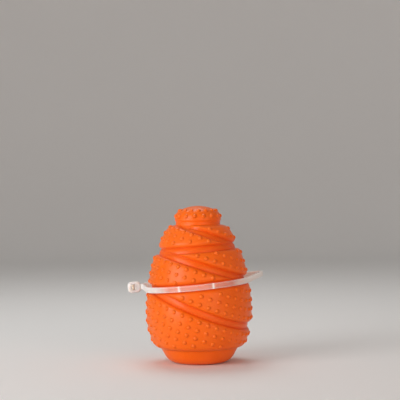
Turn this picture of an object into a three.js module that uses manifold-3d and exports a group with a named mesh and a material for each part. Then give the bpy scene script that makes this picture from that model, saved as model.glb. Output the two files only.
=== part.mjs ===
// Beehive-shaped rubber chew toy with a nylon cable tie fastened round its waist.
// Millimetres and degrees. +Z runs up the toy's axis from the centre of its resting face.
// The toy's front faces -Y and its right-hand side is +X.
import * as THREE from 'three';
import { mergeVertices } from 'three/addons/utils/BufferGeometryUtils.js';
import Module from 'manifold-3d';

const wasm = await Module();
wasm.setup();

// Whole toy, and the egg that all its lobes share: a lower and an upper half-ellipse, turned about the axis
const TOY_HEIGHT = 86.9;
const BULGE_RADIUS = 29.2;
const BULGE_HEIGHT = 27;
const LOWER_RISE = 33;
const EGG_TOP_DROP = 1.4;
const UPPER_RISE = TOY_HEIGHT - EGG_TOP_DROP - BULGE_HEIGHT;

// Foot under the lobes: a drafted ring with a round lower edge and a flat resting face
const FOOT_HEIGHT = 8.6;
const FOOT_REST_RADIUS = 12;
const FOOT_EDGE_ROUND = 8.2;
const FOOT_DRAFT = 29;
const STEP_HEIGHT = 2.2;

// Neck and domed cap on top of the lobes
const NECK_RADIUS = 12.3;
const NECK_LENGTH = 2.5;
const SHOULDER_DROP = 2.4;
const CAP_RADIUS = 12.8;
const CAP_HEIGHT = 10.6;
const CAP_EDGE_ROUND = 5;
const CAP_FALL = 25;
const NECK_HEIGHT = TOY_HEIGHT - CAP_HEIGHT;

// Treat hollow inside, and its round mouth in the foot
const WALL = 9.5;
const CAP_SOLID = 18;
const MOUTH_RADIUS = 9;
const MOUTH_CHAMFER = 0.8;

// Heights where the slanting grooves come round the two sides, as shares of the toy's height,
// and how steeply the lowest groove also drops towards the front
const LEFT_TOP_SHARE = 0.905;
const LEFT_UPPER_SHARE = 0.718;
const LEFT_WAIST_SHARE = 0.474;
const LEFT_LOWER_SHARE = 0.489;
const RIGHT_UPPER_SHARE = 0.754;
const RIGHT_WAIST_SHARE = 0.532;
const RIGHT_LOWER_SHARE = 0.236;
const LOWER_LEAN_SHARE = 0.092;

// Section of a groove: flat floor, flared sides that round the edges of the lobes
const GROOVE_DEPTH = 2.1;
const GROOVE_FLOOR = 3.4;
const GROOVE_MOUTH = 7.6;
const GROOVE_WAIST = 4.2;
const GROOVE_WAIST_DEPTH = 0.9;

// Gripping nubs in rows along the slanting grooves
const NUB_RADIUS = 1;
const NUB_HEIGHT = 0.6;
const NUB_ROOT = 0.35;
const NUB_SPACING = 5.2;
const NUB_ROW_PITCH = 4.8;
const NUB_MARGIN = 4.6;
const NUB_RING_MARGIN = 4.2;
const NUB_NECK_MARGIN = 2.2;
const NUB_FOOT_MARGIN = 2;
const CAP_LOWER_ROW_LIFT = 15;
const CAP_UPPER_ROW_LIFT = 61;

// Nylon cable tie
const TIE_WIDTH = 3.1;
const TIE_THICKNESS = 1.2;
const TIE_DROP = 0.2;
const TIE_REACH_LEFT = 40;
const TIE_REACH_RIGHT = 39.3;
const TIE_BEND = 2.6;
const TAIL_BEND = 1.2;
const TAIL_PROUD = 0.1;
const ROOT_BEND = 1.2;
const ROOT_LENGTH = 1.3;
const ROOT_SETBACK = 0.6;
const HEAD_WALL = 2.1;
const HEAD_SIDE = 1.35;
const HEAD_DEPTH = 5.2;
const HEAD_ROUND = 0.9;
const TOOTH_PITCH = 1.2;
const TOOTH_DEPTH = 0.35;

// Locking pawl on its living hinge in the tie's head
const PAWL_THICKNESS = 1.1;
const PAWL_ROOM = 0.55;
const PAWL_SETBACK = 0.4;
const PAWL_ROOT_LENGTH = 1.1;
const PAWL_TIP_SETBACK = 0.3;
const PAWL_BITE_LENGTH = 1.3;

// Clearance between pieces, and fineness of the curves
const FIT_GAP = 0.3;
const BODY_SEGMENTS = 34;
const HOLLOW_SEGMENTS = 24;
const GROOVE_STEPS = 34;
const ROW_SAMPLES = 360;
const CURVE_PASSES = 24;
const NUB_SIDES = 5;
const ARC_DIVISIONS = 3;
const SEAT_DIVISIONS = 32;
const MERGE_DISTANCE = 1e-4;

// Solids

/** A closed solid from a three.js geometry, with shared vertices merged and slivers dropped. */
function solidFrom(geometry) {
  geometry.deleteAttribute('normal');
  geometry.deleteAttribute('uv');
  const merged = mergeVertices(geometry, MERGE_DISTANCE);
  const corners = merged.index.array;
  const triangles = [];
  for (let i = 0; i < corners.length; i += 3) {
    const [a, b, c] = corners.slice(i, i + 3);
    if (a !== b && b !== c && c !== a) triangles.push(a, b, c);
  }
  return new wasm.Manifold(new wasm.Mesh({
    numProp: 3,
    vertProperties: Float32Array.from(merged.attributes.position.array),
    triVerts: Uint32Array.from(triangles),
  }));
}

/** A named mesh from a closed solid. */
function meshFrom(solid, name, material) {
  const { vertProperties, triVerts } = solid.getMesh();
  const geometry = new THREE.BufferGeometry();
  geometry.setAttribute('position', new THREE.BufferAttribute(vertProperties, 3));
  geometry.setIndex(new THREE.BufferAttribute(triVerts, 1));
  geometry.computeVertexNormals();
  const mesh = new THREE.Mesh(geometry, material);
  mesh.name = name;
  return mesh;
}

/** A solid turned about the Z axis from an outline of radius and height. */
function turned(outline, segments) {
  return solidFrom(new THREE.LatheGeometry(outline, segments).rotateX(Math.PI / 2));
}

/** A solid of the given width, centred on the plane of its outline. */
function plate(shape, width) {
  const options = { depth: width, bevelEnabled: false, curveSegments: ARC_DIVISIONS };
  const geometry = new THREE.ExtrudeGeometry(shape, options);
  return solidFrom(geometry.translate(0, 0, -width / 2));
}

// Egg and the planes that cut it

function eggRadius(height) {
  const rise = height < BULGE_HEIGHT ? LOWER_RISE : UPPER_RISE;
  const share = (height - BULGE_HEIGHT) / rise;
  return BULGE_RADIUS * Math.sqrt(Math.max(0, 1 - share * share));
}

/** Parameter angle of the half-ellipse at a height. */
function eggAngle(height) {
  const rise = height < BULGE_HEIGHT ? LOWER_RISE : UPPER_RISE;
  return Math.asin((height - BULGE_HEIGHT) / rise);
}

function eggNormal(point) {
  const rise = point.z < BULGE_HEIGHT ? LOWER_RISE : UPPER_RISE;
  return new THREE.Vector3(
    point.x / BULGE_RADIUS ** 2,
    point.y / BULGE_RADIUS ** 2,
    (point.z - BULGE_HEIGHT) / rise ** 2,
  ).normalize();
}

/** Plane from a height at the egg's left side to one at its right, as shares of the toy's height. */
function slantPlane(leftShare, rightShare, lean = 0) {
  const left = leftShare * TOY_HEIGHT;
  const right = rightShare * TOY_HEIGHT;
  const slope = (right - left) / (eggRadius(left) + eggRadius(right));
  return { slope, lean, level: left + slope * eggRadius(left) };
}

function planeHeight(plane, x, y) {
  return plane.level + plane.slope * x + plane.lean * y;
}

/** Point where a plane meets the egg at an angle about the axis. */
function pointOnEgg(plane, angle) {
  let height = plane.level;
  for (let pass = 0; pass < CURVE_PASSES; pass += 1) {
    const radius = eggRadius(height);
    height = planeHeight(plane, radius * Math.cos(angle), radius * Math.sin(angle));
  }
  const radius = eggRadius(height);
  return new THREE.Vector3(radius * Math.cos(angle), radius * Math.sin(angle), height);
}

// Round edge of the cap, up to where its parabolic crown begins
const capFall = THREE.MathUtils.degToRad(CAP_FALL);
const capEdge = { radius: CAP_RADIUS - CAP_EDGE_ROUND };
capEdge.crownRadius = capEdge.radius + CAP_EDGE_ROUND * Math.sin(capFall);
capEdge.crownRise = (capEdge.crownRadius * Math.tan(capFall)) / 2;
capEdge.height = TOY_HEIGHT - capEdge.crownRise - CAP_EDGE_ROUND * Math.cos(capFall);

// Foot of the round shoulder, and planes of the neck, the step over the foot and the grooves
const shoulder = NECK_HEIGHT - SHOULDER_DROP;
const neckPlane = { slope: 0, lean: 0, level: NECK_HEIGHT };
const stepPlane = { slope: 0, lean: 0, level: FOOT_HEIGHT };
const upperSlant = slantPlane(LEFT_TOP_SHARE, RIGHT_UPPER_SHARE);
const upperRing = slantPlane(LEFT_UPPER_SHARE, RIGHT_UPPER_SHARE);
const middleSlant = slantPlane(LEFT_UPPER_SHARE, RIGHT_WAIST_SHARE);
const waistRing = slantPlane(LEFT_WAIST_SHARE, RIGHT_WAIST_SHARE);
const lowerSlant = slantPlane(LEFT_LOWER_SHARE, RIGHT_LOWER_SHARE, LOWER_LEAN_SHARE);

// Rubber body

/** Outline of the foot, the step, the egg and its shoulder, from the axis round to the axis. */
function lobesOutline() {
  const draft = THREE.MathUtils.degToRad(FOOT_DRAFT);
  const edgeTop = FOOT_EDGE_ROUND * (1 - Math.sin(draft));
  const edgeRadius = FOOT_REST_RADIUS + FOOT_EDGE_ROUND * Math.cos(draft);
  const footRadius = edgeRadius + (FOOT_HEIGHT - edgeTop) * Math.tan(draft);
  const lobeFoot = FOOT_HEIGHT + STEP_HEIGHT;
  const path = new THREE.Path();
  path.moveTo(0, 0);
  path.lineTo(FOOT_REST_RADIUS, 0);
  path.absarc(FOOT_REST_RADIUS, FOOT_EDGE_ROUND, FOOT_EDGE_ROUND, -Math.PI / 2, -draft, false);
  path.lineTo(footRadius, FOOT_HEIGHT);
  path.quadraticCurveTo(eggRadius(FOOT_HEIGHT), FOOT_HEIGHT, eggRadius(lobeFoot), lobeFoot);
  path.absellipse(0, BULGE_HEIGHT, BULGE_RADIUS, LOWER_RISE, eggAngle(lobeFoot), 0, false);
  path.absellipse(0, BULGE_HEIGHT, BULGE_RADIUS, UPPER_RISE, 0, eggAngle(shoulder), false);
  path.quadraticCurveTo(eggRadius(NECK_HEIGHT), NECK_HEIGHT, NECK_RADIUS, NECK_HEIGHT);
  path.lineTo(0, NECK_HEIGHT);
  return path.getPoints(ARC_DIVISIONS);
}

/** Outline of the neck, down inside the lobes, and of the cap, from the axis round to the axis. */
function capOutline() {
  const capFoot = NECK_HEIGHT + NECK_LENGTH;
  const path = new THREE.Path();
  path.moveTo(0, shoulder);
  path.lineTo(NECK_RADIUS, shoulder);
  path.lineTo(NECK_RADIUS, capFoot - (CAP_RADIUS - NECK_RADIUS));
  path.lineTo(CAP_RADIUS, capFoot);
  path.absarc(capEdge.radius, capEdge.height, CAP_EDGE_ROUND, 0, Math.PI / 2 - capFall, false);
  path.quadraticCurveTo(capEdge.crownRadius / 2, TOY_HEIGHT, 0, TOY_HEIGHT);
  return path.getPoints(ARC_DIVISIONS);
}

/** Outline of the treat hollow: mouth, inner egg and round top, from the axis round to the axis. */
function hollowOutline() {
  const radius = BULGE_RADIUS - WALL;
  const lowerRise = LOWER_RISE - WALL;
  const upperRise = TOY_HEIGHT - CAP_SOLID - BULGE_HEIGHT;
  const mouthAngle = -Math.acos(MOUTH_RADIUS / radius);
  const path = new THREE.Path();
  path.moveTo(0, -MOUTH_CHAMFER);
  path.lineTo(MOUTH_RADIUS + 2 * MOUTH_CHAMFER, -MOUTH_CHAMFER);
  path.lineTo(MOUTH_RADIUS, MOUTH_CHAMFER);
  path.absellipse(0, BULGE_HEIGHT, radius, lowerRise, mouthAngle, 0, false);
  path.absellipse(0, BULGE_HEIGHT, radius, upperRise, 0, Math.PI / 2, false);
  return path.getPoints(ARC_DIVISIONS);
}

/** Ring that cuts a groove: its section carried along the curve where its plane meets the egg. */
function grooveCutter(plane) {
  const half = [GROOVE_FLOOR, GROOVE_WAIST, GROOVE_MOUTH, GROOVE_MOUTH].map((width) => width / 2);
  const heights = [-GROOVE_DEPTH, -GROOVE_WAIST_DEPTH, 0, GROOVE_DEPTH];
  const right = half.map((side, i) => [side, heights[i]]);
  const left = right.map(([side, height]) => [-side, height]).reverse();
  const section = [...right, ...left];
  const positions = [];
  const triangles = [];
  const stepAngle = (2 * Math.PI) / GROOVE_STEPS;
  for (let step = 0; step < GROOVE_STEPS; step += 1) {
    const angle = step * stepAngle;
    const centre = pointOnEgg(plane, angle);
    const along = pointOnEgg(plane, angle + stepAngle).sub(pointOnEgg(plane, angle - stepAngle)).normalize();
    const out = eggNormal(centre);
    const across = new THREE.Vector3().crossVectors(out, along);
    section.forEach(([side, height], corner) => {
      const point = centre.clone().addScaledVector(across, side).addScaledVector(out, height);
      positions.push(...point);
      const here = step * section.length;
      const next = ((step + 1) % GROOVE_STEPS) * section.length;
      const other = (corner + 1) % section.length;
      triangles.push(here + corner, next + other, next + corner);
      triangles.push(here + corner, here + other, next + other);
    });
  }
  const geometry = new THREE.BufferGeometry();
  geometry.setAttribute('position', new THREE.Float32BufferAttribute(positions, 3));
  geometry.setIndex(triangles);
  return solidFrom(geometry);
}

/** One nub: a low cone with its root sunk in the rubber, standing out along the surface's normal. */
function nubAt(seat, out) {
  const height = NUB_HEIGHT + NUB_ROOT;
  const cone = new THREE.ConeGeometry((NUB_RADIUS * height) / NUB_HEIGHT, height, NUB_SIDES);
  const turn = new THREE.Quaternion().setFromUnitVectors(new THREE.Vector3(0, 1, 0), out);
  const middle = seat.clone().addScaledVector(out, (NUB_HEIGHT - NUB_ROOT) / 2);
  return solidFrom(cone.applyQuaternion(turn).translate(...middle));
}

/** Points along the curve where a plane meets the egg, evenly spaced, from the right-hand side. */
function rowOfSeats(plane, startShare) {
  const points = [];
  for (let i = 0; i <= ROW_SAMPLES; i += 1) points.push(pointOnEgg(plane, (2 * Math.PI * i) / ROW_SAMPLES));
  const curve = new THREE.CatmullRomCurve3(points);
  const count = Math.round(curve.getLength() / NUB_SPACING);
  return Array.from({ length: count }, (_, i) => curve.getPointAt((i + startShare) / count));
}

/** A ring of nubs about the axis on the cap's round edge, at a lift in degrees, spaced from the front. */
function capRing(degrees, startShare) {
  const lift = THREE.MathUtils.degToRad(degrees);
  const radius = capEdge.radius + CAP_EDGE_ROUND * Math.cos(lift);
  const height = capEdge.height + CAP_EDGE_ROUND * Math.sin(lift);
  const count = Math.round((2 * Math.PI * radius) / NUB_SPACING);
  return Array.from({ length: count }, (_, i) => {
    const angle = (2 * Math.PI * (i + startShare)) / count - Math.PI / 2;
    const level = new THREE.Vector3(Math.cos(angle), Math.sin(angle), 0);
    const out = level.clone().multiplyScalar(Math.cos(lift)).setZ(Math.sin(lift));
    return nubAt(level.multiplyScalar(radius).setZ(height), out);
  });
}

/** Nubs on the cap: a lower ring that leaves the front free, and an upper one with a nub there. */
function capNubs() {
  return [...capRing(CAP_LOWER_ROW_LIFT, 1 / 2), ...capRing(CAP_UPPER_ROW_LIFT, 0)];
}

/** Nubs on the lobes: rows beside each slanting groove, up to the next ring. */
function lobeNubs() {
  const bands = [
    { along: upperSlant, side: 1, limit: neckPlane, margin: NUB_NECK_MARGIN },
    { along: upperSlant, side: -1, limit: upperRing, margin: NUB_RING_MARGIN },
    { along: middleSlant, side: 1, limit: upperRing, margin: NUB_RING_MARGIN },
    { along: middleSlant, side: -1, limit: waistRing, margin: NUB_RING_MARGIN },
    { along: lowerSlant, side: 1, limit: waistRing, margin: NUB_RING_MARGIN },
    { along: lowerSlant, side: -1, limit: stepPlane, margin: NUB_FOOT_MARGIN },
  ];
  const nubs = [];
  for (const { along, side, limit, margin } of bands) {
    let row = 0;
    let offset = NUB_MARGIN;
    let inReach = true;
    while (inReach) {
      const tilt = Math.hypot(1, along.slope, along.lean);
      const plane = { ...along, level: along.level + side * offset * tilt };
      const free = rowOfSeats(plane, (row % 2) / 2).filter(
        (seat) => side * (planeHeight(limit, seat.x, seat.y) - seat.z) > margin,
      );
      nubs.push(...free.map((seat) => nubAt(seat, eggNormal(seat))));
      inReach = free.length > 0;
      row += 1;
      offset += NUB_ROW_PITCH;
    }
  }
  return nubs;
}

function rubberBody(material) {
  const slants = [upperSlant, upperRing, middleSlant, waistRing, lowerSlant];
  let body = turned(lobesOutline(), BODY_SEGMENTS);
  for (const plane of slants) body = body.subtract(grooveCutter(plane));
  body = body.add(turned(capOutline(), BODY_SEGMENTS));
  body = body.subtract(turned(hollowOutline(), HOLLOW_SEGMENTS));
  for (const nub of [...lobeNubs(), ...capNubs()]) body = body.add(nub);
  return meshFrom(body, 'rubber_body', material);
}

// Cable tie, drawn flat in the plane of the waist groove: u to the right, v to the back

const tieTilt = Math.atan(waistRing.slope);
const tieLevel = waistRing.level - TIE_DROP;

/** Radius of the lobes under the strap's lower edge at a distance along u. */
function seatRadius(u) {
  const x = u * Math.cos(tieTilt);
  return eggRadius(tieLevel + x * waistRing.slope - TIE_WIDTH / 2);
}

const seatLeft = seatRadius(-BULGE_RADIUS) + FIT_GAP + TIE_THICKNESS / 2;
const seatRight = seatRadius(BULGE_RADIUS) + FIT_GAP + TIE_THICKNESS / 2;
const seat = { centre: new THREE.Vector2((seatRight - seatLeft) / 2, 0), radius: (seatRight + seatLeft) / 2 };

const tail = { u: -TIE_REACH_LEFT + HEAD_WALL + FIT_GAP + TIE_THICKNESS / 2 };
tail.face = tail.u + TIE_THICKNESS / 2;
const slot = {
  left: -TIE_REACH_LEFT + HEAD_WALL,
  right: tail.face + FIT_GAP + PAWL_THICKNESS + PAWL_ROOM,
  width: TIE_WIDTH + 2 * FIT_GAP,
};
const head = {
  left: -TIE_REACH_LEFT,
  right: slot.right + HEAD_WALL,
  back: seat.radius - TIE_THICKNESS / 2 - FIT_GAP,
  width: slot.width + 2 * HEAD_SIDE,
};
head.front = head.back - HEAD_DEPTH;

/** Points of a round bend at a corner of a line, between the points before and after it. */
function bend(before, corner, after, radius) {
  const arriving = corner.clone().sub(before).normalize();
  const leaving = after.clone().sub(corner).normalize();
  const turn = Math.atan2(arriving.cross(leaving), arriving.dot(leaving));
  const setback = radius * Math.tan(Math.abs(turn) / 2);
  const inward = new THREE.Vector2(-arriving.y, arriving.x).multiplyScalar(Math.sign(turn) * radius);
  const centre = corner.clone().addScaledVector(arriving, -setback).add(inward);
  const start = Math.atan2(-inward.y, -inward.x);
  const arc = new THREE.EllipseCurve(centre.x, centre.y, radius, radius, start, start + turn, turn < 0);
  return arc.getPoints(2 * ARC_DIVISIONS);
}

/** Middle line of the strap in two stretches: head to right bend, then tail; the back lies between. */
function strapLine() {
  const backV = seat.radius;
  const rootV = head.front + ROOT_SETBACK + TIE_THICKNESS / 2;
  const root = new THREE.Vector2(head.right - HEAD_WALL / 2, rootV);
  const rootCorner = new THREE.Vector2(head.right + ROOT_LENGTH, rootV);
  const rightCorner = new THREE.Vector2(TIE_REACH_RIGHT, backV);
  const tailCorner = new THREE.Vector2(tail.u, backV);
  const tailEnd = new THREE.Vector2(tail.u, head.front - TAIL_PROUD);
  const toLeft = rootCorner.clone().sub(seat.centre);
  const toRight = rightCorner.clone().sub(seat.centre);
  const arrive = toLeft.angle() + Math.acos(seat.radius / toLeft.length());
  const leave = toRight.angle() - Math.acos(seat.radius / toRight.length()) + 2 * Math.PI;
  const { x, y } = seat.centre;
  const seatArc = new THREE.EllipseCurve(x, y, seat.radius, seat.radius, arrive, leave);
  const seatPoints = seatArc.getPoints(SEAT_DIVISIONS);
  return {
    front: [
      root,
      ...bend(root, rootCorner, seatPoints[0], ROOT_BEND),
      ...seatPoints,
      ...bend(seatPoints.at(-1), rightCorner, tailCorner, TIE_BEND),
    ],
    tail: [...bend(rightCorner, tailCorner, tailEnd, TAIL_BEND), tailEnd],
  };
}

/** A line's points moved sideways: to its left where the offset is positive. */
function offsetLine(points, offset) {
  return points.map((point, i) => {
    const before = points[Math.max(i - 1, 0)];
    const after = points[Math.min(i + 1, points.length - 1)];
    const first = (i === 0 ? after : point).clone().sub(i === 0 ? point : before).normalize();
    const second = (i === points.length - 1 ? point : after).clone()
      .sub(i === points.length - 1 ? before : point).normalize();
    const normal = new THREE.Vector2(-first.y - second.y, first.x + second.x).normalize();
    const stretch = 1 / (normal.x * -first.y + normal.y * first.x);
    return point.clone().addScaledVector(normal, offset * stretch);
  });
}

/** Saw teeth cut into a straight stretch of the strap's inner edge. */
function toothed(from, to) {
  const along = to.clone().sub(from);
  const count = Math.floor(along.length() / TOOTH_PITCH);
  const pitch = along.clone().setLength(TOOTH_PITCH);
  const inward = new THREE.Vector2(pitch.y, -pitch.x).setLength(TOOTH_DEPTH);
  const points = [];
  for (let tooth = 0; tooth < count; tooth += 1) {
    const crest = from.clone().addScaledVector(pitch, tooth);
    points.push(crest, crest.clone().add(inward));
  }
  return [...points, to];
}

function cableTie(material) {
  const { front, tail: end } = strapLine();
  const line = [...front, ...end];
  const inner = offsetLine(line, TIE_THICKNESS / 2);
  const outer = offsetLine(line, -TIE_THICKNESS / 2);
  const innerEdge = [
    ...inner.slice(0, front.length - 1),
    ...toothed(inner[front.length - 1], inner[front.length]),
    ...inner.slice(front.length + 1, -2),
    ...toothed(inner.at(-2), inner.at(-1)),
  ];
  const strap = new THREE.Shape([...innerEdge, ...outer.reverse()]);
  const block = new THREE.Shape();
  block.moveTo(head.left + HEAD_ROUND, head.front);
  block.lineTo(head.right - HEAD_ROUND, head.front);
  block.quadraticCurveTo(head.right, head.front, head.right, head.front + HEAD_ROUND);
  block.lineTo(head.right, head.back);
  block.lineTo(head.left, head.back);
  block.lineTo(head.left, head.front + HEAD_ROUND);
  block.quadraticCurveTo(head.left, head.front, head.left + HEAD_ROUND, head.front);
  const slotBox = new THREE.BoxGeometry(slot.right - slot.left, 2 * HEAD_DEPTH, slot.width);
  slotBox.translate((slot.left + slot.right) / 2, (head.front + head.back) / 2, 0);
  const hollowHead = plate(block, head.width).subtract(solidFrom(slotBox));
  return meshFrom(hollowHead.add(plate(strap, TIE_WIDTH)), 'cable_tie', material);
}

function tiePawl(material) {
  const rootSide = slot.right - FIT_GAP;
  const rootBack = head.back - PAWL_SETBACK;
  const biteFace = tail.face + FIT_GAP;
  const tipFront = head.front + PAWL_TIP_SETBACK;
  const outline = new THREE.Shape();
  outline.moveTo(rootSide, rootBack);
  outline.lineTo(rootSide - PAWL_THICKNESS, rootBack);
  outline.lineTo(biteFace, tipFront + PAWL_BITE_LENGTH);
  outline.lineTo(biteFace, tipFront);
  outline.lineTo(biteFace + PAWL_THICKNESS, tipFront);
  outline.lineTo(rootSide, rootBack - PAWL_ROOT_LENGTH);
  return meshFrom(plate(outline, slot.width - 2 * FIT_GAP), 'tie_pawl', material);
}

// Assembly

const orangeRubber = new THREE.MeshStandardMaterial({ color: '#ee6418', roughness: 0.42, metalness: 0 });
const whiteNylon = new THREE.MeshStandardMaterial({ color: '#efe9e2', roughness: 0.38, metalness: 0 });

const tie = new THREE.Group();
tie.position.z = tieLevel;
tie.rotation.y = -tieTilt;
tie.add(cableTie(whiteNylon), tiePawl(whiteNylon));

const toy = new THREE.Group();
toy.add(rubberBody(orangeRubber), tie);

export default toy;
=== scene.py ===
"""Nubbed beehive chew toy in orange rubber, with a nylon cable tie locked round its waist.

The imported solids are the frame. Lengths are in metres, +Z runs up the toy and -Y is its front.
"""

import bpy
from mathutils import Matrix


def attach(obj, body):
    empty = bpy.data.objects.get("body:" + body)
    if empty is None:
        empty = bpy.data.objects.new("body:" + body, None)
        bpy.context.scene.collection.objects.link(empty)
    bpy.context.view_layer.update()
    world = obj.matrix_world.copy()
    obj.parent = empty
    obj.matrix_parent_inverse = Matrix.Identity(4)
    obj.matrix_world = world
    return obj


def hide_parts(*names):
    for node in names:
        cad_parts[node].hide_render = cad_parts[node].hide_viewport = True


bl_info = {
    "name": "Beehive Chew Toy",
    "version": (1, 0, 0),
    "blender": (4, 5, 0),
    "location": "3D View > Sidebar > Chew Toy",
    "description": "Builds a nubbed rubber chew toy, the cable tie round its waist and a small studio",
    "category": "Object",
}

from collections import namedtuple
from types import SimpleNamespace

import bpy
import numpy as np
from bpy.props import FloatProperty, FloatVectorProperty, PointerProperty
from bpy.types import Operator, Panel, PropertyGroup

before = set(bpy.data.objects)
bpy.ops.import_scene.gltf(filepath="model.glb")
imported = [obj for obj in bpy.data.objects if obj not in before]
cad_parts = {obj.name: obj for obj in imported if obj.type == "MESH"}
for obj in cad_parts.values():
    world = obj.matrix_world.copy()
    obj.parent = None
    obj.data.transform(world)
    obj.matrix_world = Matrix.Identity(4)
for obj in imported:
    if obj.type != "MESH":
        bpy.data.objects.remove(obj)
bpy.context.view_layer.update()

MM = 0.001

# Fineness of the meshes
COLUMNS = 288
MIDDLE_ROWS = 6
OUTLINE_STEP = 0.05 * MM
CURVE_POINTS = 240
PLANE_SAMPLES = 1500
ROW_SAMPLES = 720
SETTLING_TURNS = 24
NUB_SIDES = 8
BEND_POINTS = 10
LOOP_CORNER_POINTS = 6
BACKDROP_COLUMNS = 96

# Rings of a nub from its skirt to its top, in shares of its radius and height
NUB_PROFILE = np.array([[1.34, -0.1], [1.08, 0.07], [0.95, 0.42], [0.68, 0.82], [0.33, 0.97]])

# Shares of a tooth's pitch: the middle of its slope, the foot of its slope and the foot of its back
TOOTH_MIDDLE, TOOTH_FOOT, TOOTH_BACK = 0.45, 0.85, 0.98

# Places of nodes in the shader editor
NODE_STEP = 200
NODE_ROOM = 16

Plane = namedtuple("Plane", "slope lean level")


# Sizes and colours


def length(name, description, millimetres):
    """A length that a user may change, given here in millimetres and kept in metres."""
    return FloatProperty(
        name=name, description=description, default=millimetres * MM, min=0, precision=5, unit="LENGTH"
    )


def slant(name, description, degrees):
    """An angle that a user may change, given here in degrees and kept in radians."""
    return FloatProperty(name=name, description=description, default=np.radians(degrees), subtype="ANGLE")


def colour(name, description, value):
    """A linear colour that a user may change."""
    return FloatVectorProperty(
        name=name, description=description, default=value, min=0, max=1, size=3, subtype="COLOR"
    )


class BodySizes(PropertyGroup):
    """Sizes of the rubber body, without its grooves and nubs"""

    bulge_radius: length("Bulge radius", "Largest radius of the lobes' egg", 29.2)
    bulge_height: length("Bulge height", "Height of the egg's bulge", 27)
    lower_rise: length("Lower rise", "Half height of the egg below its bulge", 33)
    upper_rise: length("Upper rise", "Half height of the egg above its bulge", 58.5)
    foot_height: length("Foot height", "Height of the plain foot", 8.6)
    rest_radius: length("Resting radius", "Outer radius of the flat resting rim", 12)
    foot_round: length("Foot round", "Radius of the foot's lower edge", 8.2)
    foot_draft: slant("Foot draft", "Slant of the foot's side", 29)
    step_height: length("Step height", "Height of the step out to the lobes", 2.2)
    neck_height: length("Neck height", "Height of the neck's lower edge", 76.3)
    neck_radius: length("Neck radius", "Radius of the neck under the cap", 12.3)
    neck_length: length("Neck length", "Height of the neck alone", 2.5)
    shoulder_drop: length("Shoulder drop", "Height of the round shoulder", 2.4)
    cap_radius: length("Cap radius", "Radius of the cap", 12.8)
    cap_height: length("Cap height", "Height of the neck and cap", 10.6)
    cap_round: length("Cap round", "Radius of the cap's upper edge", 5)
    cap_fall: slant("Cap fall", "Slant of the crown at its edge", 25)
    wall: length("Wall", "Thickness of the rubber at the bulge", 9.5)
    cap_solid: length("Solid cap", "Thickness of the rubber above the hollow", 18)
    mouth_radius: length("Mouth radius", "Radius of the treat mouth", 9)
    mouth_chamfer: length("Mouth chamfer", "Chamfer round the treat mouth", 0.8)


class GrooveSizes(PropertyGroup):
    """Places of the slanting grooves, and their section"""

    left_top: length("Left top notch", "Height of the top groove at the left", 78.64)
    left_upper: length("Left upper notch", "Height of the upper notch at the left", 62.39)
    left_waist: length("Left waist notch", "Height of the waist groove at the left", 41.19)
    left_lower: length("Left lower notch", "Height of the lowest groove at the left", 42.49)
    right_upper: length("Right upper notch", "Height of the upper notch at the right", 65.52)
    right_waist: length("Right waist notch", "Height of the waist groove at the right", 46.23)
    right_lower: length("Right lower notch", "Height of the lowest groove at the right", 20.51)
    lower_lean: FloatProperty(
        name="Lower lean", description="Drop of the lowest groove towards the front", default=0.092
    )
    depth: length("Depth", "Depth at the edges of the floor", 2.1)
    floor_width: length("Floor width", "Width of the smooth floor", 3.6)
    floor_crown: length("Floor crown", "Rise of the floor's middle", 0.35)
    mouth_width: length("Mouth width", "Width with the lobes' rounds", 8)


class NubSizes(PropertyGroup):
    """The gripping nubs and their rows"""

    radius: length("Radius", "Radius of a nub", 1.02)
    height: length("Height", "Height of a nub", 0.72)
    spacing: length("Spacing", "Distance between nubs along a row", 5.1)
    row_pitch: length("Row pitch", "Distance between rows over the surface", 4.45)
    row_shift: length("Row shift", "Shift of each row along the row before it", 1.1)
    margin: length("Margin", "Distance from a groove to its first row", 4.5)
    top_margin: length("Top margin", "That distance above the top groove", 3.4)
    ring_margin: length("Ring margin", "Least height from a nub to a ring groove", 3.3)
    neck_margin: length("Neck margin", "Least height from a nub to the neck", 1.2)
    foot_margin: length("Foot margin", "Least height from a nub to the foot", 1.8)


class TieSizes(PropertyGroup):
    """The cable tie"""

    width: length("Width", "Width of the strap", 3.1)
    thickness: length("Thickness", "Thickness of the strap", 1.2)
    drop: length("Drop", "Drop of the strap below the waist groove", 0.2)
    reach_left: length("Reach left", "Distance from the axis to the head's outer face", 40)
    reach_right: length("Reach right", "Distance from the axis to the right-hand bend", 39.3)
    bend: length("Bend", "Radius of the bend at the right", 2.6)
    root_bend: length("Root bend", "Radius of the bend beside the head", 1.2)
    tail_bend: length("Tail bend", "Radius of the bend before the tail", 1.2)
    tail_proud: length("Tail proud", "Length of the cut tail in front of the head", 0.1)
    root_length: length("Root length", "Straight length of strap at the head", 1.3)
    root_setback: length("Root setback", "Depth of the strap's root in the head", 0.6)
    head_wall: length("Head wall", "Thickness of the walls beside the tail", 2.1)
    head_side: length("Head side", "Thickness of the upper and lower walls", 1.35)
    head_depth: length("Head depth", "Length of the head's slot", 5.2)
    pawl_thickness: length("Pawl thickness", "Thickness of the locking pawl", 1.1)
    pawl_room: length("Pawl room", "Room behind the locking pawl", 0.55)
    gap: length("Gap", "Clearance between pieces", 0.3)
    tooth_pitch: length("Tooth pitch", "Distance between teeth", 1.2)
    tooth_depth: length("Tooth depth", "Depth of the teeth", 0.35)


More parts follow.
